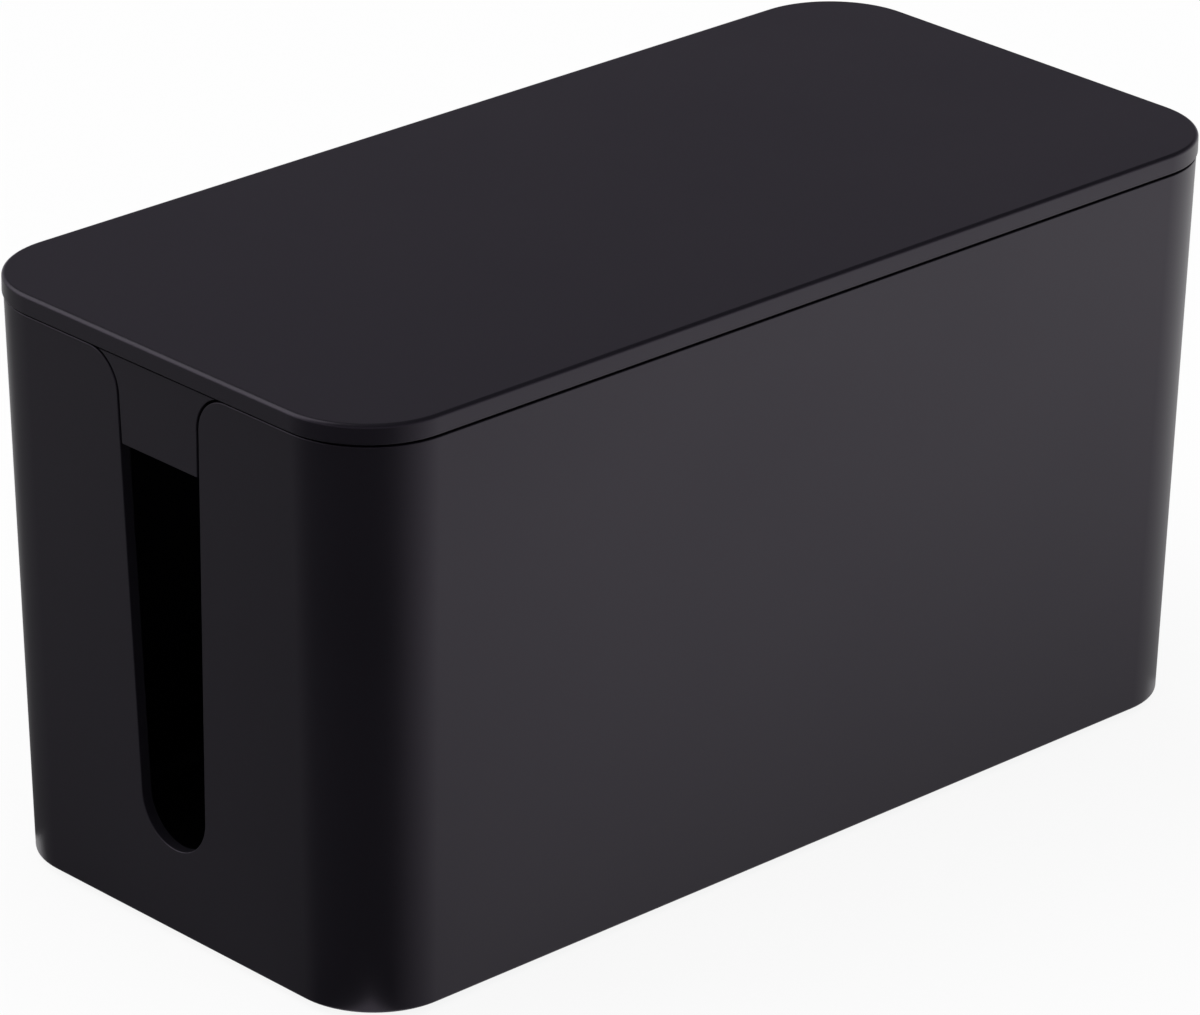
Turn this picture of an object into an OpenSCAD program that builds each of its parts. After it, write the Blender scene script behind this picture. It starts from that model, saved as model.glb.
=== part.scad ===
// Cable management box for a desk: an open-topped body with a cable slot in each end, a lift-off
// lid whose two tongues drop into the slots, and four rubber feet. A power strip and the spare
// length of its cords go inside, and the cords leave through the slots below the tongues.
// Millimetres, +Z up, +X along the length. The origin lies under the middle of the body, on the
// surface that the feet stand on.

/* [Body] */
// Length of the body, outside, at its rim
body_length = 234; // [190:0.2:320]
// Width of the body, outside, at its rim
body_width = 114.2; // [100:0.2:160]
// Height of the body from its underside to its rim
body_height = 117.4; // [80:0.2:160]
// Thickness of the walls
wall = 2.4; // [1.8:0.1:3.2]
// Thickness of the floor
floor_thickness = 2.8; // [2:0.1:4]
// Outer corner radius at the rim, seen from above
rim_corner_r = 19.2; // [14:0.2:26]
// Outer corner radius at the underside, seen from above
base_corner_r = 17.5; // [12:0.5:24]
// Lean of each end wall from vertical, in degrees
end_draft = 1.65; // [0.5:0.05:3]
// Lean of each long wall from vertical, in degrees
side_draft = 1.3; // [0.5:0.05:3]
// Round along the outer edge of the underside
base_edge_r = 0.6; // [0.3:0.1:1.5]
// Fillet between the floor and the walls, inside
floor_fillet_r = 3; // [1:0.5:6]

/* [Cable slots] */
// Radius of the round bottom of each slot
slot_r = 9.2; // [6:0.1:14]
// Height of the slot's lowest point above the underside of the body
slot_sill = 18.1; // [10:0.1:40]
// Lean of each long edge of the slot from vertical, in degrees
slot_taper = 1.7; // [0.5:0.1:4]
// Radius of the flare where the slot opens at the rim
flare_r = 8; // [4:0.5:12]

/* [Lid] */
// How far the lid stands out past the body at each end
end_overhang = 0.5; // [0.2:0.1:2]
// How far the lid stands out past the body on each long side
side_overhang = 0.1; // [0.1:0.1:2]
// Height of the band of the lid that shows above the body
band_height = 4; // [3.2:0.1:8]
// Thickness of the lid's top
top_thickness = 2.4; // [1.8:0.1:3]
// Round along the top edge of the lid
top_edge_r = 1; // [0.4:0.1:2]
// Open gap between lid and body: under the band, and all round the tongues
shadow_gap = 0.5; // [0.3:0.1:1]
// How far the gap under the band runs in before the lid rests on the body
shadow_depth = 1.2; // [0.8:0.1:1.6]
// How far the tongues reach below the rim of the body
tongue_depth = 17.7; // [10:0.1:30]
// Thickness of the tongues
tongue_thickness = 2.4; // [1.6:0.1:3]
// How far the locating lip reaches below the rim of the body
lip_depth = 6; // [3:0.5:8]
// Thickness of the locating lip
lip_thickness = 1.6; // [1.2:0.1:2.4]
// Clearance between the locating lip and the walls, at the rim
lip_clearance = 0.6; // [0.5:0.05:1]

/* [Feet] */
// Diameter of each foot
foot_d = 14; // [8:0.5:18]
// Height that the feet lift the body off the surface
foot_stand = 1.5; // [1:0.1:4]
// Depth of the recess that each foot is stuck into
foot_recess = 0.8; // [0.4:0.1:1.2]
// Clearance round each foot in its recess
foot_clearance = 0.3; // [0.2:0.1:0.6]
// Distance from the edges of the underside to the middle of each foot
foot_inset = 20; // [18:0.5:30]
// Round along the lower edge of each foot
foot_edge_r = 0.6; // [0.2:0.1:0.8]

/* [Hidden] */

// Colours of the two materials
moulded_black = "#2d2a2f";
rubber_black = "#1a1a1a";

// Roundness: steps in a quarter of a corner, steps in a small edge round, and true circles
corner_steps = 12;
edge_steps = 4;
$fn = 96;

// How far cutters run past a face, and joined pieces run into each other
past = 1;

// Heights above the surface that the feet stand on
underside = foot_stand;
rim = underside + body_height;
band_low = rim + shadow_gap;
lid_top = band_low + band_height;
floor_top = underside + floor_thickness;

// Half sizes of the body at its underside
base_half_length = body_length / 2 - body_height * tan(end_draft);
base_half_width = body_width / 2 - body_height * tan(side_draft);

// Middle of the slot's round bottom, and of the flare's round edge
slot_middle = underside + slot_sill + slot_r;
flare_z = rim - flare_r;
flare_y = slot_edge(flare_z) + flare_r / cos(slot_taper);

// Outside of the body at height z: half length, half width and corner radius
function rise(z) = (z - underside) / body_height;
function half_length(z) = base_half_length + (z - underside) * tan(end_draft);
function half_width(z) = base_half_width + (z - underside) * tan(side_draft);
function corner_r(z) = base_corner_r + (rim_corner_r - base_corner_r) * rise(z);

// Half width of the slot at height z, along its straight edges
function slot_edge(z) = slot_r / cos(slot_taper) + (z - slot_middle) * tan(slot_taper);

// Rounded rectangle as points, anticlockwise seen from above
function rounded_rectangle(half_x, half_y, r) = [
    for (corner = [0:3], step = [0:corner_steps])
        let (turn = 90 * (corner + step / corner_steps))
        let (side_x = corner == 0 || corner == 3 ? 1 : -1)
        let (side_y = corner < 2 ? 1 : -1)
        [side_x * (half_x - r) + r * cos(turn), side_y * (half_y - r) + r * sin(turn)]
];

// The body's outline at height z, moved in by inset
function body_outline(z, inset) =
    rounded_rectangle(half_length(z) - inset, half_width(z) - inset, corner_r(z) - inset);

// The lid's outline, moved in by inset
function lid_outline(inset) = rounded_rectangle(
    body_length / 2 + end_overhang - inset,
    body_width / 2 + side_overhang - inset,
    rim_corner_r + (end_overhang + side_overhang) / 2 - inset
);

// An outline lifted to height z
function at_height(outline, z) = [for (p = outline) [p.x, p.y, z]];

// Solid through a stack of outlines that all have as many points
module loft(rings) {
    count = len(rings[0]);
    last = len(rings) - 1;
    bottom = [for (i = [0:count - 1]) i];
    top = [for (i = [count - 1:-1:0]) last * count + i];
    sides = [
        for (ring = [0:last - 1], i = [0:count - 1])
            let (next = (i + 1) % count)
            let (low = ring * count)
            let (high = low + count)
            [low + i, high + i, high + next, low + next]
    ];
    polyhedron(points = [for (ring = rings) each ring], faces = concat([bottom], sides, [top]));
}

// Straight-sided plate of an outline, from one height to another
module plate(outline, low, high) {
    translate([0, 0, low])
        linear_extrude(height = high - low)
            polygon(outline);
}

// Drawing in Y and Z, extruded along X from one place to another
module along_x(from, to) {
    translate([from, 0, 0])
        rotate([90, 0, 90])
            linear_extrude(height = to - from)
                children();
}

// The part of a slot between its straight edges, moved in by gap on both sides
module slot_middle_part(low, high, gap) {
    low_edge = slot_edge(low) - gap / cos(slot_taper);
    high_edge = slot_edge(high) - gap / cos(slot_taper);
    polygon([[-low_edge, low], [low_edge, low], [high_edge, high], [-high_edge, high]]);
}

// The two flares at the top of a slot, moved in by gap. Each is the corner between the straight
// edge and the level top, less a circle that touches both.
module slot_flares(gap) {
    r = flare_r + gap;
    top = flare_z + r;
    corner = slot_edge(top) - gap / cos(slot_taper);
    for (flip = [0, 1])
        mirror([flip, 0])
            difference() {
                polygon([
                    [flare_y, flare_z],
                    [flare_y - r * cos(slot_taper), flare_z + r * sin(slot_taper)],
                    [corner, top],
                    [flare_y, top]
                ]);
                translate([flare_y, flare_z])
                    circle(r);
            }
}

// The opening of a cable slot, run on above the rim
module slot_opening() {
    touch = slot_middle - slot_r * sin(slot_taper);
    translate([0, slot_middle])
        circle(slot_r);
    slot_middle_part(touch, rim, 0);
    slot_flares(0);
    translate([-flare_y, rim])
        square([2 * flare_y, past]);
}

// Outer shape of the body, with its small edge round at the underside
module body_solid() {
    edge = [
        for (step = [0:edge_steps])
            let (turn = 90 * step / edge_steps)
            let (z = underside + base_edge_r * (1 - sin(turn)))
            at_height(body_outline(z, base_edge_r * (1 - cos(turn))), z)
    ];
    loft([for (i = [edge_steps:-1:0]) edge[i], at_height(body_outline(rim, 0), rim)]);
}

// Space inside the body, with the fillet round the floor, run on above the rim
module body_space() {
    fillet = [
        for (step = [0:edge_steps])
            let (turn = 90 * step / edge_steps)
            let (z = floor_top + floor_fillet_r * (1 - sin(turn)))
            at_height(body_outline(z, wall + floor_fillet_r * (1 - cos(turn))), z)
    ];
    loft([for (i = [edge_steps:-1:0]) fillet[i], at_height(body_outline(rim + past, wall), rim + past)]);
}

// Repeats its children at the places of the four feet, or at one of them
module at_foot(side_x, side_y) {
    translate([side_x * (base_half_length - foot_inset), side_y * (base_half_width - foot_inset), 0])
        children();
}

// Moulded body with a slot in each end and a recess for each foot
module box_body() {
    color(moulded_black)
        difference() {
            body_solid();
            body_space();
            along_x(-body_length / 2 - past, body_length / 2 + past)
                slot_opening();
            for (side_x = [-1, 1], side_y = [-1, 1])
                at_foot(side_x, side_y)
                    translate([0, 0, underside - past])
                        cylinder(d = foot_d + 2 * foot_clearance, h = past + foot_recess);
        }
}

// Top and band of the lid, with the round along the top edge
module lid_cap() {
    edge = [
        for (step = [0:edge_steps])
            let (turn = 90 * step / edge_steps)
            at_height(lid_outline(top_edge_r * (1 - cos(turn))), lid_top - top_edge_r * (1 - sin(turn)))
    ];
    loft(concat([at_height(lid_outline(0), band_low)], edge));
}

// Tongue at the low-X end: it fills the top of the slot and lies flush with the leaning wall.
// A web joins it to the locating lip behind it.
module tongue() {
    low = rim - tongue_depth;
    lip_low = rim - lip_depth;
    web_half_width = slot_edge(lip_low) - shadow_gap / cos(slot_taper);
    intersection() {
        along_x(-body_length / 2 - past, 0)
            union() {
                slot_middle_part(low, band_low + past, shadow_gap);
                slot_flares(shadow_gap);
            }
        translate([-body_length / 2, 0, rim])
            rotate([0, -end_draft, 0])
                translate([0, -body_width / 2, -body_height])
                    cube([tongue_thickness, body_width, 2 * body_height]);
    }
    translate([-body_length / 2 + tongue_thickness / 2, -web_half_width, lip_low])
        cube([wall + lip_clearance + lip_thickness - tongue_thickness / 2, 2 * web_half_width, lip_depth + past]);
}

// Lift-off lid
module lid() {
    lip_inset = wall + lip_clearance;
    color(moulded_black) {
        difference() {
            union() {
                lid_cap();
                plate(body_outline(rim, shadow_depth), rim, band_low + past);
                plate(body_outline(rim, lip_inset), rim - lip_depth, rim + past);
            }
            plate(body_outline(rim, lip_inset + lip_thickness), rim - lip_depth - past, lid_top - top_thickness);
        }
        for (side = [0, 180])
            rotate([0, 0, side])
                tongue();
    }
}

// Rubber foot, stuck into its recess
module foot() {
    color(rubber_black)
        rotate_extrude() {
            square([foot_d / 2 - foot_edge_r, foot_stand + foot_recess]);
            translate([0, foot_edge_r])
                square([foot_d / 2, foot_stand + foot_recess - foot_edge_r]);
            translate([foot_d / 2 - foot_edge_r, foot_edge_r])
                intersection() {
                    circle(foot_edge_r);
                    translate([0, -foot_edge_r])
                        square([foot_edge_r, 2 * foot_edge_r]);
                }
        }
}

box_body();
lid();
at_foot(-1, -1) foot();  // foot_front_left
at_foot(1, -1) foot();  // foot_front_right
at_foot(-1, 1) foot();  // foot_back_left
at_foot(1, 1) foot();  // foot_back_right
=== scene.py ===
import math

import bmesh
import bpy
from mathutils import Matrix, Quaternion, Vector


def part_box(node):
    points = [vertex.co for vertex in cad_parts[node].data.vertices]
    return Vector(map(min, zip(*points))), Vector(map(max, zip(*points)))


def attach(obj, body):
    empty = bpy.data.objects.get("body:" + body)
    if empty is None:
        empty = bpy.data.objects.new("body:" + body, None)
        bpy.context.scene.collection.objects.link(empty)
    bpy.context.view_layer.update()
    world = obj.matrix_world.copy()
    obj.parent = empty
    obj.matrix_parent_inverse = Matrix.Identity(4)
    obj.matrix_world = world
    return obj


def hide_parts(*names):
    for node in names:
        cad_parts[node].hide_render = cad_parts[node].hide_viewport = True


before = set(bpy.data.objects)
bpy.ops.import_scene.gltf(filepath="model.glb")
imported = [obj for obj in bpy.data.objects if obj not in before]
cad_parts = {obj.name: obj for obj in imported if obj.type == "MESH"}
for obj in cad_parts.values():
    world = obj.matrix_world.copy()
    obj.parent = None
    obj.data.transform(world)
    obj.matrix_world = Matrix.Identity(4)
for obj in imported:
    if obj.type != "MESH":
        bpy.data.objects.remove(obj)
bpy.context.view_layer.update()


# ---------------------------------------------------------------------------------------------
# Body
# One injection-moulded tub of black ABS, with 2.4 mm walls that lean out a little so that it
# leaves the mould. Each end has an open slot for cords, round at the bottom and flared at the
# rim. The floor carries the faint round marks of the ejector pins, and a gate under its middle.
# ---------------------------------------------------------------------------------------------
MM = 0.001
WALL = 2.4 * MM
FLOOR_THICKNESS = 2.8 * MM
RIM_CORNER = 19.2 * MM
BASE_CORNER = 17.5 * MM
CORNER_STEPS = 24
END_DRAFT = math.radians(1.65)
SIDE_DRAFT = math.radians(1.3)
BASE_ROUND = 0.6 * MM
BASE_ROUND_STEPS = 5
FLOOR_FILLET = 3 * MM
FLOOR_FILLET_STEPS = 8
EDGE_ROUND = 0.2 * MM
EDGE_ROUND_STEPS = 3
SLOT_RADIUS = 9.2 * MM
SLOT_SILL = 18.1 * MM
SLOT_TAPER = math.radians(1.7)
SLOT_STEPS = 28
FLARE_RADIUS = 8 * MM
FLARE_STEPS = 24
FOOT_RECESS = 0.8 * MM
FOOT_CLEARANCE = 0.3 * MM
FEET = ("foot_front_left", "foot_front_right", "foot_back_left", "foot_back_right")
PIN_MARK_RADIUS = 3 * MM
PIN_MARK_DEPTH = 0.12 * MM
BODY_PIN_MARKS = [(x * MM, y * MM) for x in (-82, -28, 28, 82) for y in (-30, 30)]
GATE_DISH_RADIUS = 4 * MM
GATE_DISH_DEPTH = 0.6 * MM
GATE_RADIUS = 1 * MM
GATE_HEIGHT = 0.35 * MM
CYLINDER_STEPS = 64

# How far a cutting solid goes past what it cuts, the distance within which two vertices are
# one, and the turns of the surface over which an edge is rounded, or left to look sharp.
PAST = 1 * MM
SAME_PLACE = PAST / 1000
ROUNDED_OVER = math.radians(45)
SHARP_OVER = math.radians(40)

body_low, body_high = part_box("box_body")
underside, rim = body_low.z, body_high.z
floor_top = underside + FLOOR_THICKNESS
slot_middle = underside + SLOT_SILL + SLOT_RADIUS
flare_z = rim - FLARE_RADIUS


def body_size(z, inset):
    """Half length, half width and corner radius of the body at height z, moved in by inset."""
    drop = rim - z
    corner = RIM_CORNER + (BASE_CORNER - RIM_CORNER) * drop / (rim - underside)
    half_length = body_high.x - drop * math.tan(END_DRAFT)
    half_width = body_high.y - drop * math.tan(SIDE_DRAFT)
    return half_length - inset, half_width - inset, corner - inset


def slot_edge(z, gap):
    """Half width of a cord slot at height z along its straight edges, moved in by gap."""
    return (SLOT_RADIUS - gap) / math.cos(SLOT_TAPER) + (z - slot_middle) * math.tan(SLOT_TAPER)


flare_y = slot_edge(flare_z, -FLARE_RADIUS)


def outline(mesh, half_length, half_width, corner):
    """A level rectangle with its four corners bevelled round."""
    corners = bmesh.ops.create_grid(mesh, x_segments=1, y_segments=1, size=1)["verts"]
    bmesh.ops.scale(mesh, vec=(half_length, half_width, 1), verts=corners)
    round_corners = bmesh.ops.bevel(
        mesh, geom=corners, offset=corner, offset_type="OFFSET", segments=CORNER_STEPS,
        profile=0.5, affect="VERTICES", material=-1,
    )
    return round_corners["verts"][0].link_faces[0]


def shell(levels):
    """Closed skin through outlines in turn, and the edges of each. The two end faces stay. The
    outlines are bridged as a tall stack, and then each is brought to its own height."""
    mesh = bmesh.new()
    faces = [outline(mesh, *size) for height, *size in levels]
    loops = [list(face.edges) for face in faces]
    for step, face in enumerate(faces):
        bmesh.ops.translate(mesh, vec=(0, 0, step), verts=face.verts)
    bmesh.ops.delete(mesh, geom=faces[1:-1], context="FACES_ONLY")
    for lower, upper in zip(loops, loops[1:]):
        bmesh.ops.bridge_loops(mesh, edges=lower + upper)
    for step, (loop, level) in enumerate(zip(loops, levels)):
        ring = list({v for edge in loop for v in edge.verts})
        bmesh.ops.translate(mesh, vec=(0, 0, level[0] - step), verts=ring)
    bmesh.ops.recalc_face_normals(mesh, faces=mesh.faces)
    return mesh, loops


def rounded(mesh, edges, radius, steps):
    """Rounds edges to a radius, as the cutter leaves them in a mould."""
    bmesh.ops.bevel(
        mesh, geom=edges, offset=radius, offset_type="OFFSET", segments=steps,
        profile=0.5, affect="EDGES", material=-1, clamp_overlap=False,
    )


def outer_edges(mesh):
    """The outward edges that are too sharp to be left without a fine round."""
    return [e for e in mesh.edges if e.is_convex and e.calc_face_angle(0) > ROUNDED_OVER]


def run_to(mesh, vertex, y, z):
    """Draws a straight edge from a vertex to a place across the end wall."""
    drawn = bmesh.ops.extrude_vert_indiv(mesh, verts=[vertex])["verts"][0]
    drawn.co = (0, y, z)
    return drawn


def slot_prism(gap, low, start, end):
    """The shape of a cord slot, moved in by gap, as a solid along X. It ends in the slot's round
    bottom where low is None, and level at the height low otherwise."""
    mesh = bmesh.new()
    top = flare_z + FLARE_RADIUS + gap
    flare_top = bmesh.ops.create_vert(mesh, co=(0, flare_y, top))["vert"][0]
    above = run_to(mesh, flare_top, flare_y, top + PAST)
    run_to(mesh, above, 0, top + PAST)
    flare = bmesh.ops.spin(
        mesh, geom=[flare_top], cent=(0, flare_y, flare_z), axis=(1, 0, 0),
        angle=math.pi / 2 - SLOT_TAPER, steps=FLARE_STEPS,
    )
    flare_foot = flare["geom_last"][0]
    if low is None:
        radius = SLOT_RADIUS - gap
        touch = slot_middle - radius * math.sin(SLOT_TAPER)
        side = run_to(mesh, flare_foot, radius * math.cos(SLOT_TAPER), touch)
        bmesh.ops.spin(
            mesh, geom=[side], cent=(0, 0, slot_middle), axis=(1, 0, 0),
            angle=SLOT_TAPER - math.pi / 2, steps=SLOT_STEPS,
        )
    else:
        side = run_to(mesh, flare_foot, slot_edge(low, gap), low)
        run_to(mesh, side, 0, low)
    bmesh.ops.mirror(mesh, geom=mesh.verts[:] + mesh.edges[:], axis="Y", merge_dist=SAME_PLACE)
    face = bmesh.ops.contextual_create(mesh, geom=mesh.edges)["faces"]
    bmesh.ops.translate(mesh, vec=(start, 0, 0), verts=mesh.verts)
    far = bmesh.ops.extrude_face_region(mesh, geom=face, use_keep_orig=True)["geom"]
    far_verts = [v for v in far if isinstance(v, bmesh.types.BMVert)]
    bmesh.ops.translate(mesh, vec=(end - start, 0, 0), verts=far_verts)
    bmesh.ops.recalc_face_normals(mesh, faces=mesh.faces)
    return mesh


def add_cylinder(mesh, x, y, low, high, radius):
    """Adds an upright closed cylinder to a mesh."""
    made = bmesh.ops.create_cone(
        mesh, cap_ends=True, segments=CYLINDER_STEPS, radius1=radius, radius2=radius,
        depth=high - low,
    )
    bmesh.ops.translate(mesh, vec=(x, y, (low + high) / 2), verts=made["verts"])


def as_object(mesh, name, *materials):
    """The mesh as an object of the frame, in its material."""
    data = bpy.data.meshes.new(name)
    mesh.to_mesh(data)
    mesh.free()
    for material in materials:
        data.materials.append(material)
    made = bpy.data.objects.new(name, data)
    bpy.context.collection.objects.link(made)
    return made


def combined(mesh, tool, operation):
    """One solid less another (DIFFERENCE), or both as one (UNION)."""
    both = [as_object(solid, "solid") for solid in (mesh, tool)]
    boolean = both[0].modifiers.new("boolean", "BOOLEAN")
    boolean.object = both[1]
    boolean.operation = operation
    boolean.solver = "EXACT"
    result = bmesh.new()
    result.from_object(both[0], bpy.context.evaluated_depsgraph_get())
    for solid in both:
        bpy.data.meshes.remove(solid.data)
    return result


def marked_by_pins(mesh, places, low, high):
    """A moulding with the round marks, from low to high, where the ejector pins pushed it out."""
    marks = bmesh.new()
    for x, y in places:
        add_cylinder(marks, x, y, low, high, PIN_MARK_RADIUS)
    return combined(mesh, marks, "DIFFERENCE")


body, loops = shell([
    (underside, *body_size(underside, 0)),
    (rim, *body_size(rim, 0)),
    (rim, *body_size(rim, WALL)),
    (floor_top, *body_size(floor_top, WALL)),
])
rounded(body, loops[0], BASE_ROUND, BASE_ROUND_STEPS)
rounded(body, loops[3], FLOOR_FILLET, FLOOR_FILLET_STEPS)
openings = slot_prism(0, None, body_low.x - PAST, body_high.x + PAST)
for name in FEET:
    low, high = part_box(name)
    middle = (low + high) / 2
    add_cylinder(
        openings, middle.x, middle.y, underside - PAST, underside + FOOT_RECESS,
        (high.x - low.x) / 2 + FOOT_CLEARANCE,
    )
add_cylinder(openings, 0, 0, underside - PAST, underside + GATE_DISH_DEPTH, GATE_DISH_RADIUS)
body = combined(body, openings, "DIFFERENCE")
rounded(body, outer_edges(body), EDGE_ROUND, EDGE_ROUND_STEPS)
body = marked_by_pins(body, BODY_PIN_MARKS, floor_top - PIN_MARK_DEPTH, floor_top + PAST)
gate = bmesh.new()
gate_root = underside + GATE_DISH_DEPTH
add_cylinder(gate, 0, 0, gate_root - GATE_HEIGHT, gate_root + GATE_HEIGHT, GATE_RADIUS)
body = combined(body, gate, "UNION")

ABS_GRAIN = 0.25 * MM
ABS_GRAIN_HEIGHT = 0.012 * MM
ABS_FLOW = 45 * MM
ABS_ROUGHNESS = (0.36, 0.4)
ABS_BLACKS = ("#151418", "#17161b")
ABS_SHEEN = "#f2e5fc"


def colour(hex_code):
    """An sRGB colour such as #1d171d as the linear colour that shaders take."""
    parts = [int(hex_code[i:i + 2], 16) / 255 for i in (1, 3, 5)]
    return (*[p / 12.92 if p <= 0.04045 else ((p + 0.055) / 1.055) ** 2.4 for p in parts], 1)


def add_node(tree, kind, settings, inputs):
    """Adds a node. Each input, by its name or its number, is given a value, or is linked where
    the value is a socket."""
    node = tree.nodes.new(kind)
    for name, value in settings.items():
        setattr(node, name, value)
    for name, value in inputs.items():
        if isinstance(value, bpy.types.NodeSocket):
            tree.links.new(value, node.inputs[name])
        else:
            node.inputs[name].default_value = value
    return node


def new_material(name):
    """A material with an empty node tree."""
    material = bpy.data.materials.new(name)
    material.use_nodes = True
    material.node_tree.nodes.clear()
    return material, material.node_tree


def textured_abs():
    """Injection-moulded ABS, dyed black with a trace of purple in it, from a spark-eroded mould.
    The eroded face breaks every reflection into a soft satin sheen, with no mirror image in it.
    Tone and sheen drift slightly with the flow of the melt. The real grain is about 0.1 mm: it
    is drawn at 0.25 mm, so that it shows."""
    material, tree = new_material("moulded ABS, fine spark texture")
    place = add_node(tree, "ShaderNodeTexCoord", {}, {}).outputs["Object"]
    grain = add_node(tree, "ShaderNodeTexNoise", {}, {
        "Vector": place, "Scale": 1 / ABS_GRAIN, "Detail": 2, "Roughness": 0.6,
    })
    flow = add_node(tree, "ShaderNodeTexNoise", {}, {
        "Vector": place, "Scale": 1 / ABS_FLOW, "Detail": 3, "Roughness": 0.5,
    })
    bump = add_node(tree, "ShaderNodeBump", {}, {
        "Strength": 0.35, "Distance": ABS_GRAIN_HEIGHT, "Height": grain.outputs["Fac"],
    })
    roughness = add_node(tree, "ShaderNodeMapRange", {}, {
        "Value": flow.outputs["Fac"], "From Min": 0.3, "From Max": 0.7,
        "To Min": ABS_ROUGHNESS[0], "To Max": ABS_ROUGHNESS[1],
    })
    tint = add_node(tree, "ShaderNodeMix", {"data_type": "RGBA"}, {
        "Factor": flow.outputs["Fac"], "A": colour(ABS_BLACKS[0]), "B": colour(ABS_BLACKS[1]),
    })
    surface = add_node(tree, "ShaderNodeBsdfPrincipled", {}, {
        "Base Color": tint.outputs["Result"], "Roughness": roughness.outputs["Result"],
        "IOR": 1.52, "Specular Tint": colour(ABS_SHEEN), "Normal": bump.outputs["Normal"],
    })
    add_node(tree, "ShaderNodeOutputMaterial", {}, {"Surface": surface.outputs["BSDF"]})
    return material


def finished(mesh, name, material):
    """The mesh as an object of the frame, shaded smooth with its flat faces kept flat."""
    bmesh.ops.remove_doubles(mesh, verts=mesh.verts, dist=SAME_PLACE)
    for edge in mesh.edges:
        edge.smooth = edge.calc_face_angle(0) < SHARP_OVER
    for face in mesh.faces:
        face.smooth = True
    piece = as_object(mesh, name, material)
    shading = piece.modifiers.new("flat faces stay flat", "WEIGHTED_NORMAL")
    shading.keep_sharp = True
    shading.weight = 100
    return piece


moulded_abs = textured_abs()
body_moulding = finished(body, "body_moulding", moulded_abs)
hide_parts("box_body")
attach(body_moulding, "box")


# ---------------------------------------------------------------------------------------------
# Feet
# Four round pads of black elastomer, stuck into recesses under the floor. Each is moulded with a
# fine ring groove in the face that it stands on.
# ---------------------------------------------------------------------------------------------
FOOT_EDGE_ROUND = 0.6 * MM
FOOT_EDGE_ROUND_STEPS = 5
GROOVE_INSET = 1.8 * MM
GROOVE_WIDTH = 0.7 * MM
GROOVE_DEPTH = 0.3 * MM
RUBBER_GRAIN = 0.2 * MM
RUBBER_GRAIN_HEIGHT = 0.02 * MM
RUBBER_BLOOM = 4 * MM
RUBBER_BLACKS = ("#151415", "#222122")


def foot_pad(low, high):
    """A round pad between two corners, its lower edge rounded, with the groove."""
    mesh = bmesh.new()
    middle = (low + high) / 2
    add_cylinder(mesh, middle.x, middle.y, low.z, high.z, (high.x - low.x) / 2)
    standing = min(mesh.faces, key=lambda face: face.calc_center_median().z)
    rounded(mesh, list(standing.edges), FOOT_EDGE_ROUND, FOOT_EDGE_ROUND_STEPS)
    mesh.normal_update()
    standing = min(mesh.faces, key=lambda face: face.calc_center_median().z)
    for inset, depth in (
        (GROOVE_INSET - FOOT_EDGE_ROUND, 0),
        (GROOVE_WIDTH / 2, -GROOVE_DEPTH),
        (GROOVE_WIDTH / 2, GROOVE_DEPTH),
    ):
        bmesh.ops.inset_region(mesh, faces=[standing], thickness=inset, depth=depth)
    return mesh


def rubber():
    """Moulded elastomer: a dull black that scatters nearly all the light that falls on it, with a
    faint grey bloom in patches of about 4 mm. Its grain is about 0.2 mm."""
    material, tree = new_material("moulded elastomer")
    place = add_node(tree, "ShaderNodeTexCoord", {}, {}).outputs["Object"]
    grain = add_node(tree, "ShaderNodeTexNoise", {}, {
        "Vector": place, "Scale": 1 / RUBBER_GRAIN, "Detail": 3, "Roughness": 0.6,
    })
    bloom = add_node(tree, "ShaderNodeTexNoise", {}, {
        "Vector": place, "Scale": 1 / RUBBER_BLOOM, "Detail": 3, "Roughness": 0.6,
    })
    bump = add_node(tree, "ShaderNodeBump", {}, {
        "Strength": 0.5, "Distance": RUBBER_GRAIN_HEIGHT, "Height": grain.outputs["Fac"],
    })
    tint = add_node(tree, "ShaderNodeMix", {"data_type": "RGBA"}, {
        "Factor": bloom.outputs["Fac"], "A": colour(RUBBER_BLACKS[0]), "B": colour(RUBBER_BLACKS[1]),
    })
    surface = add_node(tree, "ShaderNodeBsdfPrincipled", {}, {
        "Base Color": tint.outputs["Result"], "Roughness": 0.82, "IOR": 1.5,
        "Normal": bump.outputs["Normal"],
    })
    add_node(tree, "ShaderNodeOutputMaterial", {}, {"Surface": surface.outputs["BSDF"]})
    return material


foot_rubber = rubber()
for name in FEET:
    pad = finished(foot_pad(*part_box(name)), name.replace("foot", "pad"), foot_rubber)
    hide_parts(name)
    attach(pad, "box")


# ---------------------------------------------------------------------------------------------
# Lid
# One injection-moulded piece of the same ABS, which lifts straight off. Its plate rests on the
# rim with a fine open gap below the band, a lip inside the walls keeps it in place, and at each
# end a tongue fills the top of the cord slot. A short web behind each tongue ties it to the lip.
# ---------------------------------------------------------------------------------------------
TOP_THICKNESS = 2.4 * MM
TOP_ROUND = 0.8 * MM
TOP_ROUND_STEPS = 8
BAND_ROUND = 0.3 * MM
SHADOW_GAP = 0.45 * MM
SHADOW_DEPTH = 1.2 * MM
LIP_CLEARANCE = 0.6 * MM
LIP_THICKNESS = 1.6 * MM
LIP_DEPTH = 6 * MM
LIP_ROUND = 0.3 * MM
TONGUE_THICKNESS = 2.4 * MM
TONGUE_GAP = 0.5 * MM
GAP_ACROSS_DEPTH = 0.4 * MM
LID_PIN_MARKS = [(x * MM, y * MM) for x in (-85, 0, 85) for y in (-34, 34)]

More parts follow.
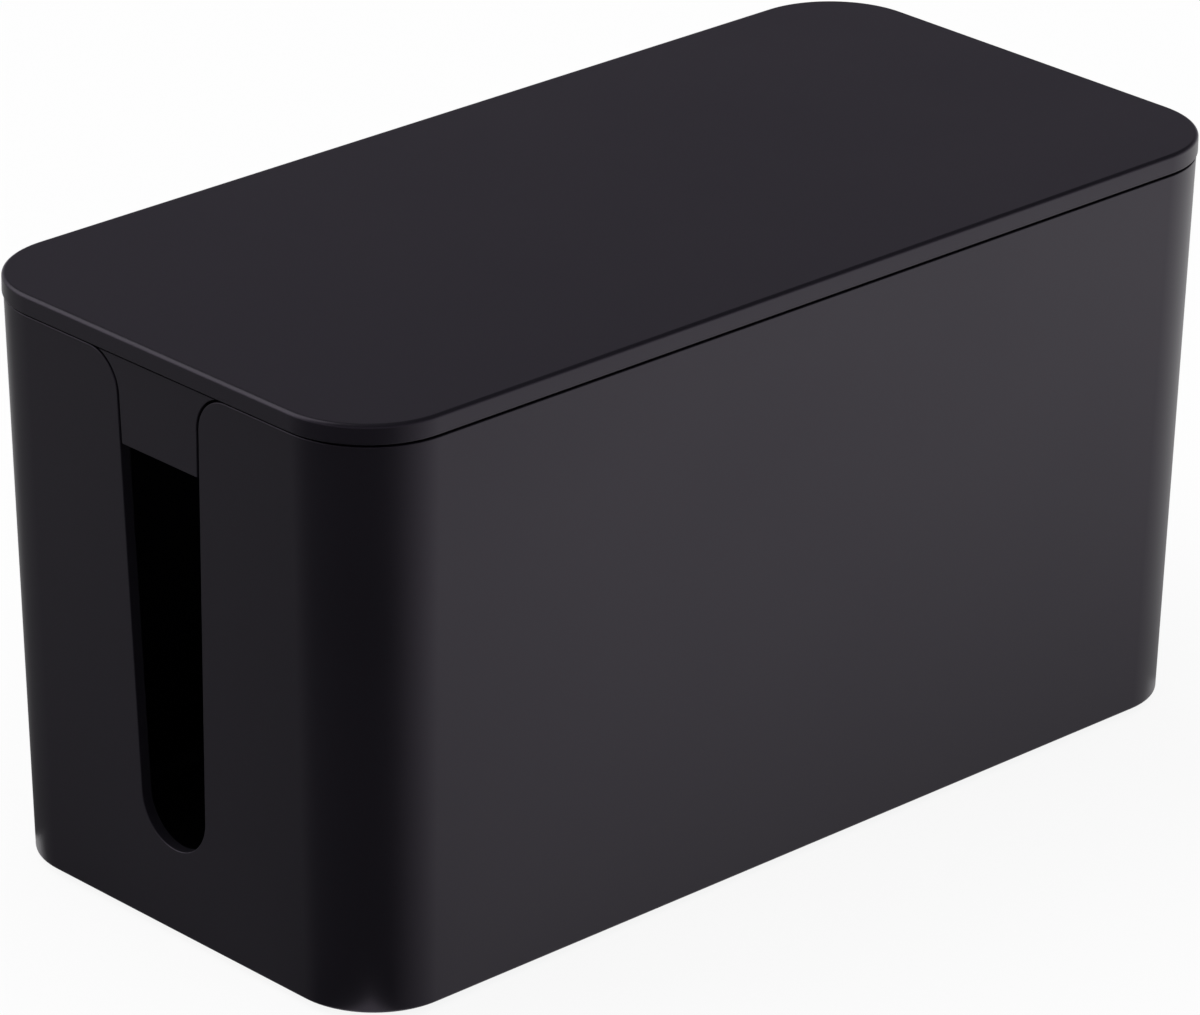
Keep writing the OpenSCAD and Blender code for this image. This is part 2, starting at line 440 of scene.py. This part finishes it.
lid_low, lid_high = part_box("lid")
overhang = ((lid_high.x - body_high.x) + (lid_high.y - body_high.y)) / 2
lid_size = (lid_high.x, lid_high.y, RIM_CORNER + overhang)
band_low = rim + SHADOW_GAP
lip_low = rim - LIP_DEPTH
plate_low = lid_high.z - TOP_THICKNESS
lip_inset = WALL + LIP_CLEARANCE

lid, loops = shell([
    (lid_high.z, *lid_size),
    (band_low, *lid_size),
    (band_low, *body_size(rim, SHADOW_DEPTH)),
    (rim, *body_size(rim, SHADOW_DEPTH)),
    (rim, *body_size(rim, lip_inset)),
    (lip_low, *body_size(rim, lip_inset)),
    (lip_low, *body_size(rim, lip_inset + LIP_THICKNESS)),
    (plate_low, *body_size(rim, lip_inset + LIP_THICKNESS)),
])
rounded(lid, loops[0], TOP_ROUND, TOP_ROUND_STEPS)
rounded(lid, loops[1], BAND_ROUND, EDGE_ROUND_STEPS)
rounded(lid, loops[5] + loops[6], LIP_ROUND, EDGE_ROUND_STEPS)

tongue = slot_prism(TONGUE_GAP, lid_low.z, body_low.x, body_low.x + TONGUE_THICKNESS)
rounded(tongue, outer_edges(tongue), EDGE_ROUND, EDGE_ROUND_STEPS)
lean = Matrix.Identity(4)
lean[0][2] = -math.tan(END_DRAFT)
lean[0][3] = rim * math.tan(END_DRAFT)
bmesh.ops.transform(tongue, matrix=lean, verts=tongue.verts)


def block(x_range, half_width, z_range):
    """A solid block across the middle of the box."""
    mesh = bmesh.new()
    size = (x_range[1] - x_range[0], 2 * half_width, z_range[1] - z_range[0])
    bmesh.ops.create_cube(mesh, size=1)
    bmesh.ops.scale(mesh, vec=size, verts=mesh.verts)
    bmesh.ops.translate(mesh, vec=(sum(x_range) / 2, 0, sum(z_range) / 2), verts=mesh.verts)
    return mesh


gap_across = block(
    (body_low.x - GAP_ACROSS_DEPTH, body_low.x + GAP_ACROSS_DEPTH), 2 * flare_y, (rim, band_low)
)
web_start = body_low.x + TONGUE_THICKNESS / 2
web_end = body_low.x + lip_inset + LIP_THICKNESS / 2
web = block((web_start, web_end), slot_edge(lip_low, TONGUE_GAP), (lip_low, band_low))
tongue = combined(tongue, gap_across, "DIFFERENCE")
tongue = combined(tongue, web, "UNION")
far_tongue = bmesh.ops.duplicate(tongue, geom=tongue.verts[:] + tongue.edges[:] + tongue.faces[:])
bmesh.ops.rotate(
    tongue, cent=(0, 0, 0), matrix=Matrix.Rotation(math.pi, 3, "Z"),
    verts=[v for v in far_tongue["geom"] if isinstance(v, bmesh.types.BMVert)],
)
lid = combined(lid, tongue, "UNION")
lid = marked_by_pins(lid, LID_PIN_MARKS, plate_low - PAST, plate_low + PIN_MARK_DEPTH)
lid_moulding = finished(lid, "lid_moulding", moulded_abs)
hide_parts("lid")
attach(lid_moulding, "lid")


# ---------------------------------------------------------------------------------------------
# Floor
# A wide board painted a plain white, which the feet stand on. The camera and the reflections see
# it lit through from behind as well. It is clear from below, so that the underside can be seen.
# ---------------------------------------------------------------------------------------------
FLOOR_RADIUS = 12
FLOOR_STEPS = 96
FLOOR_PAINT = "#f6f6f6"
FLOOR_GLOW = 1
FLOOR_GLOW_SHARE = 0.9

board = bmesh.new()
bmesh.ops.create_circle(board, cap_ends=True, segments=FLOOR_STEPS, radius=FLOOR_RADIUS)
paint, tree = new_material("white paint")
matt = add_node(tree, "ShaderNodeBsdfDiffuse", {}, {"Color": colour(FLOOR_PAINT)})
white = add_node(tree, "ShaderNodeEmission", {}, {
    "Color": colour("#ffffff"), "Strength": FLOOR_GLOW,
})
ray = add_node(tree, "ShaderNodeLightPath", {}, {}).outputs
straight = add_node(tree, "ShaderNodeMath", {"operation": "ADD"}, {
    0: ray["Is Camera Ray"], 1: ray["Is Transmission Ray"],
})
seen = add_node(tree, "ShaderNodeMath", {"operation": "ADD"}, {
    0: straight.outputs["Value"], 1: ray["Is Glossy Ray"],
})
share = add_node(tree, "ShaderNodeMapRange", {}, {
    "Value": seen.outputs["Value"], "To Max": FLOOR_GLOW_SHARE,
})
lit = add_node(tree, "ShaderNodeMixShader", {}, {
    "Fac": share.outputs["Result"], 1: matt.outputs["BSDF"], 2: white.outputs["Emission"],
})
clear = add_node(tree, "ShaderNodeBsdfTransparent", {}, {})
below = add_node(tree, "ShaderNodeNewGeometry", {}, {}).outputs["Backfacing"]
one_sided = add_node(tree, "ShaderNodeMixShader", {}, {
    "Fac": below, 1: lit.outputs["Shader"], 2: clear.outputs["BSDF"],
})
add_node(tree, "ShaderNodeOutputMaterial", {}, {"Surface": one_sided.outputs["Shader"]})
as_object(board, "floor", paint)


# ---------------------------------------------------------------------------------------------
# Nets
# Two black nets over the floor, seen only by reflections, paint shade into them. A fan round the
# near corner paints dark reflections, and a mat that thins out away from the base paints the shade
# round it. They keep the glare of the white floor off the near corner, the slotted end and the
# foot of each wall.
# ---------------------------------------------------------------------------------------------
# The black of the painted shade that the nets put into reflections.
PAINTED_SHADE_BLACK = "#060606"
MAT_REACH = 190 * MM
MAT_CLEARNESS = 0.55
MAT_HEIGHT = 0.4 * MM
FAN_APEX = Vector((-104, -46, 0.3)) * MM
FAN_REACH = 4
FAN_STEPS = 24

# How clear the fan is in each direction from its apex: where it is dark, it paints dark reflections.
FAN_CLEARNESS = (
    (-215, 1), (-200, 1), (-178, 0.19), (-152, 0.22), (-130, 0.15), (-120, 0), (-16, 0), (46, 1),
)

base_length, base_width = body_size(underside, 0)[:2]
fan_start, fan_end = FAN_CLEARNESS[0][0], FAN_CLEARNESS[-1][0]
fan_middle = (fan_start + fan_end) / 2


def towards(azimuth, elevation):
    """Unit vector from the box towards a direction. Azimuth 0 is the -Y side, 90 the +X side."""
    a, e = math.radians(azimuth), math.radians(elevation)
    return Vector((math.sin(a) * math.cos(e), -math.cos(a) * math.cos(e), math.sin(e)))


def distance_past_base(tree):
    """How far a place on the floor lies outside the base of the box, less than 0 under the box."""
    place = add_node(tree, "ShaderNodeTexCoord", {}, {}).outputs["Object"]
    either_side = add_node(tree, "ShaderNodeVectorMath", {"operation": "ABSOLUTE"}, {0: place})
    past = add_node(tree, "ShaderNodeVectorMath", {"operation": "SUBTRACT"}, {
        0: either_side.outputs["Vector"], 1: (base_length, base_width, 0),
    })
    split = add_node(tree, "ShaderNodeSeparateXYZ", {}, {"Vector": past.outputs["Vector"]}).outputs
    larger = add_node(tree, "ShaderNodeMath", {"operation": "MAXIMUM"}, {0: split["X"], 1: split["Y"]})
    return larger.outputs["Value"]


def finish_painted_shade_net(tree, clearness):
    """Ends a material's tree as a black net of painted shade, clear where clearness is 1 and under the
    box.
    """
    under = add_node(tree, "ShaderNodeMath", {"operation": "LESS_THAN"}, {
        0: distance_past_base(tree), 1: 0,
    })
    either = add_node(tree, "ShaderNodeMath", {"operation": "MAXIMUM"}, {
        0: clearness, 1: under.outputs["Value"],
    })
    matt = add_node(tree, "ShaderNodeBsdfDiffuse", {}, {"Color": colour(PAINTED_SHADE_BLACK)})
    clear = add_node(tree, "ShaderNodeBsdfTransparent", {}, {})
    net = add_node(tree, "ShaderNodeMixShader", {}, {
        "Fac": either.outputs["Value"], 1: matt.outputs["BSDF"], 2: clear.outputs["BSDF"],
    })
    add_node(tree, "ShaderNodeOutputMaterial", {}, {"Surface": net.outputs["Shader"]})


def seen_in_reflections(mesh, name, material):
    """Adds a net of painted shade, which only reflections see."""
    staged = as_object(mesh, name, material)
    staged.visible_camera = False
    staged.visible_diffuse = False
    staged.visible_transmission = False
    staged.visible_shadow = False


# The mat paints the shade round the base into the reflections: darkest at the walls, clearer further
# out.
painted_shade_mat = bmesh.new()
bmesh.ops.create_grid(painted_shade_mat, x_segments=1, y_segments=1, size=1)
bmesh.ops.scale(painted_shade_mat, vec=(base_length + MAT_REACH, base_width + MAT_REACH, 1), verts=painted_shade_mat.verts)
bmesh.ops.translate(painted_shade_mat, vec=(0, 0, MAT_HEIGHT), verts=painted_shade_mat.verts)
net, tree = new_material("black net that thins out away from the box")
thin = add_node(tree, "ShaderNodeMapRange", {}, {
    "Value": distance_past_base(tree), "From Min": 0, "From Max": MAT_REACH,
    "To Min": MAT_CLEARNESS, "To Max": 1,
})
finish_painted_shade_net(tree, thin.outputs["Result"])
seen_in_reflections(painted_shade_mat, "painted_shade_mat", net)


def share_of_turn(azimuth):
    """Where a direction from the fan's apex falls on a gradient that goes once round it."""
    return 0.5 + (azimuth - fan_middle) / 360


# The fan paints dark reflections on the near corner and the slotted end.
painted_dark_reflection_fan = bmesh.new()
far = bmesh.ops.create_vert(painted_dark_reflection_fan, co=FAN_APEX + FAN_REACH * towards(fan_start, 0))["vert"]
apex = bmesh.ops.create_vert(painted_dark_reflection_fan, co=FAN_APEX)["vert"]
side = bmesh.ops.contextual_create(painted_dark_reflection_fan, geom=far + apex)["edges"]
bmesh.ops.spin(
    painted_dark_reflection_fan, geom=far + apex + side, cent=FAN_APEX, axis=(0, 0, 1),
    angle=math.radians(fan_end - fan_start), steps=FAN_STEPS,
)
bmesh.ops.remove_doubles(painted_dark_reflection_fan, verts=painted_dark_reflection_fan.verts, dist=SAME_PLACE)
net, tree = new_material("painted dark reflection, black net graded round the corner")
place = add_node(tree, "ShaderNodeTexCoord", {}, {}).outputs["Object"]
from_apex = add_node(tree, "ShaderNodeVectorMath", {"operation": "SUBTRACT"}, {
    0: place, 1: FAN_APEX,
})
# Azimuths are counted from -Y: this turns the fan's middle to +X, where the gradient has its own.
turned = add_node(tree, "ShaderNodeVectorRotate", {"rotation_type": "Z_AXIS"}, {
    "Vector": from_apex.outputs["Vector"], "Angle": math.radians(90 - fan_middle),
})
turn = add_node(tree, "ShaderNodeTexGradient", {"gradient_type": "RADIAL"}, {
    "Vector": turned.outputs["Vector"],
})
grade = add_node(tree, "ShaderNodeValToRGB", {}, {"Fac": turn.outputs["Fac"]})
stops = grade.color_ramp.elements
for azimuth, clearness in FAN_CLEARNESS[1:-1]:
    stops.new(share_of_turn(azimuth))
for stop, (azimuth, clearness) in zip(stops, FAN_CLEARNESS):
    stop.position = share_of_turn(azimuth)
    stop.color = (clearness, clearness, clearness, 1)
finish_painted_shade_net(tree, grade.outputs["Color"])
seen_in_reflections(painted_dark_reflection_fan, "painted_dark_reflection_fan", net)


# ---------------------------------------------------------------------------------------------
# Lights
# Two softboxes behind the slotted end, and a fill overhead that is kept out of the reflections.
# The room is pale along its horizon and dark above.
# ---------------------------------------------------------------------------------------------
HORIZON = 0.62
CEILING = 0.02
CEILING_FROM = math.sin(math.radians(27))
ROOM_TINT = "#f7edff"

# Each lamp's name, azimuth, elevation and width in degrees, strength, and if reflections see it.
LAMPS = (
    ("back left softbox", -150, 42, 60, 1.1, True),
    ("low left softbox", -130, 8, 40, 0.25, True),
    ("overhead fill", 0, 90, 90, 2.1, False),
)
for name, azimuth, elevation, width, strength, mirrored in LAMPS:
    lamp = bpy.data.lights.new(name, "SUN")
    lamp.angle = math.radians(width)
    lamp.energy = strength
    holder = bpy.data.objects.new(name, lamp)
    holder.rotation_euler = towards(azimuth, elevation).to_track_quat("Z", "Y").to_euler()
    holder.visible_glossy = mirrored
    bpy.context.collection.objects.link(holder)

world = bpy.data.worlds.new("room")
world.use_nodes = True
tree = world.node_tree
tree.nodes.clear()
direction = add_node(tree, "ShaderNodeTexCoord", {}, {}).outputs["Generated"]
height = add_node(tree, "ShaderNodeSeparateXYZ", {}, {"Vector": direction}).outputs["Z"]
glow = add_node(tree, "ShaderNodeMapRange", {}, {
    "Value": height, "From Min": 0, "From Max": CEILING_FROM, "To Min": HORIZON, "To Max": CEILING,
})
room = add_node(tree, "ShaderNodeBackground", {}, {
    "Color": colour(ROOM_TINT), "Strength": glow.outputs["Result"],
})
add_node(tree, "ShaderNodeOutputWorld", {}, {"Surface": room.outputs["Background"]})
bpy.context.scene.world = world


# ---------------------------------------------------------------------------------------------
# Camera
# A long lens about a metre and a half from the box, above it and to the left of the slotted end.
# It is aimed a little below the middle of the box, and turned by half a degree about its axis.
# ---------------------------------------------------------------------------------------------
CAMERA_AZIMUTH = -43.4936
CAMERA_ELEVATION = 23.7955
CAMERA_ROLL = 0.5837
CAMERA_DISTANCE = 1.4528
CAMERA_AIM = Vector((-2.9, 0.4, 58)) * MM
CAMERA_SEES_TO = 50
FOCAL_LENGTH = 219.75
SENSOR_WIDTH = 36

camera_data = bpy.data.cameras.new("camera")
camera_data.sensor_width = SENSOR_WIDTH
camera_data.lens = FOCAL_LENGTH
camera_data.clip_end = CAMERA_SEES_TO
camera = bpy.data.objects.new("camera", camera_data)
back = towards(CAMERA_AZIMUTH, CAMERA_ELEVATION)
camera.location = CAMERA_AIM + CAMERA_DISTANCE * back
camera.rotation_mode = "QUATERNION"
roll = Quaternion((0, 0, 1), math.radians(CAMERA_ROLL))
camera.rotation_quaternion = (-back).to_track_quat("-Z", "Y") @ roll
bpy.context.collection.objects.link(camera)
bpy.context.scene.camera = camera
bpy.context.scene.view_settings.view_transform = "Standard"
